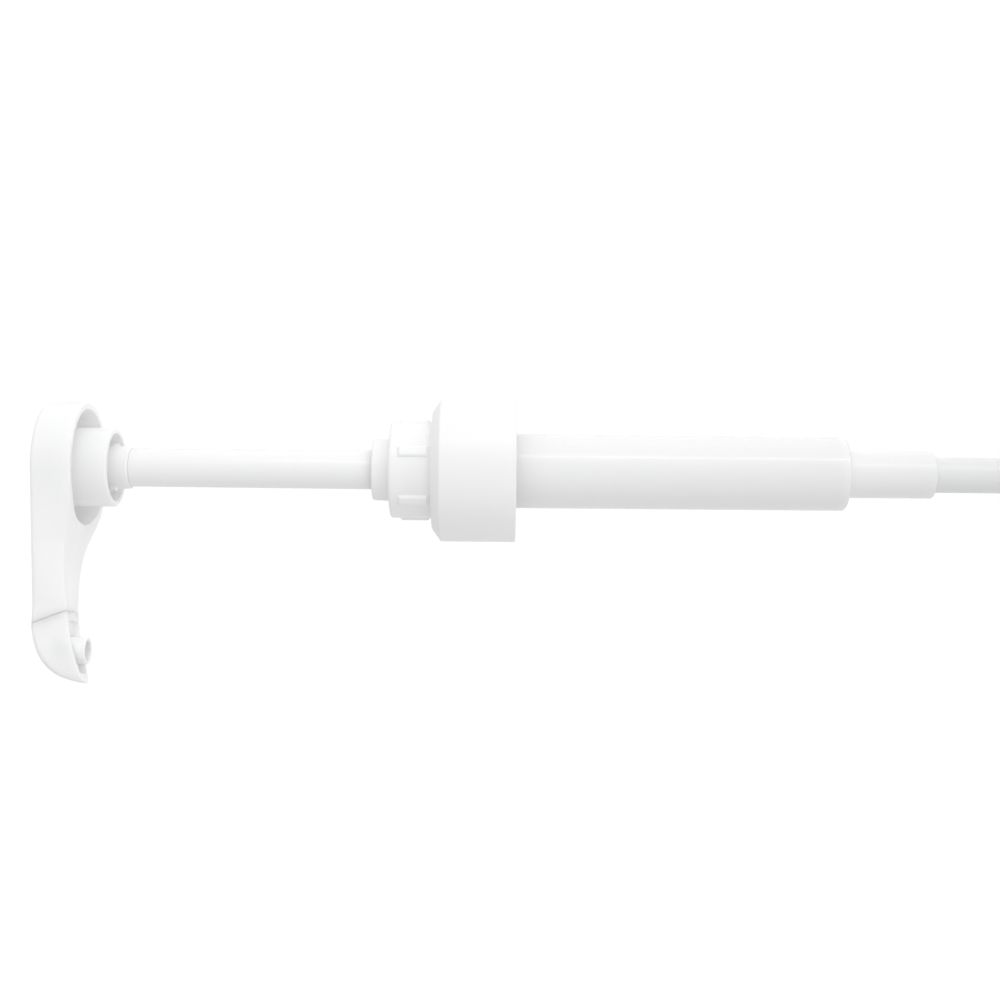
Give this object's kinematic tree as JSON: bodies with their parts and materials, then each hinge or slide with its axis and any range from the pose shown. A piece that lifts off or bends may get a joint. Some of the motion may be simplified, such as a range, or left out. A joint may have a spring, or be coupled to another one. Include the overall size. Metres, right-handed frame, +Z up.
{
  "type": "condiment pump dispenser",
  "caption": "Hand pump for a gallon jug of sauce or syrup: a spouted head on a sprung plunger, a barrel with ball valves, a threaded closure cap and a dip tube.",
  "frame": {"origin": "centre of the neck gasket's underside, where the pump rests on the rim of the jug's neck", "axes": "+Z up along the pump's axis towards the head; the spout points towards -X; +Y completes the frame"},
  "size_m": [0.0886, 0.044, 0.4044],
  "materials": {
    "polypropylene": "satin",
    "barrel_polypropylene": "satin",
    "polyethylene": "translucent satin",
    "seal_rubber": "matte",
    "spring_steel": "satin",
    "valve_steel": "polished"
  },
  "bodies": {
    "barrel": {"pump_barrel": "barrel_polypropylene", "lock_nut": "polypropylene", "rod_guide_bush": "polypropylene", "rod_wiper_seal": "seal_rubber", "neck_gasket": "seal_rubber", "ball_retainer": "polypropylene", "inlet_valve_seat": "polypropylene", "dip_tube": "polyethylene"},
    "cap": {"closure_cap": "polypropylene"},
    "piston": {"piston_body": "polypropylene", "upper_piston_seal": "seal_rubber", "lower_piston_seal": "seal_rubber", "return_spring": "spring_steel"},
    "head": {"head_shell": "polypropylene", "nose_cap": "polypropylene", "outlet_nozzle": "polypropylene", "stem_collar": "polypropylene", "plunger_rod": "polypropylene", "outlet_ball_cage": "polypropylene"},
    "outlet_ball": {"outlet_ball": "valve_steel"},
    "inlet_ball": {"inlet_ball": "valve_steel"}
  },
  "joints": [
    {"name": "plunger_stroke", "type": "slide", "parent": "barrel", "child": "piston", "axis": [0, 0, -1], "range_m": [0, 0.085], "stiffness_N_per_m": 300, "springref_m": -0.017, "deforming": ["return_spring"]},
    {"name": "head_swivel", "type": "hinge", "parent": "piston", "child": "head", "pos_m": [0, 0, 0], "axis": [0, 0, 1], "continuous": true},
    {"name": "cap_spin", "type": "hinge", "parent": "barrel", "child": "cap", "pos_m": [0, 0, 0], "axis": [0, 0, 1], "continuous": true},
    {"name": "inlet_ball_lift", "type": "slide", "parent": "barrel", "child": "inlet_ball", "axis": [0, 0, 1], "range_m": [0, 0.0035]},
    {"name": "outlet_ball_lift", "type": "slide", "parent": "piston", "child": "outlet_ball", "axis": [0, 0, 1], "range_m": [0, 0.0028]}
  ]
}
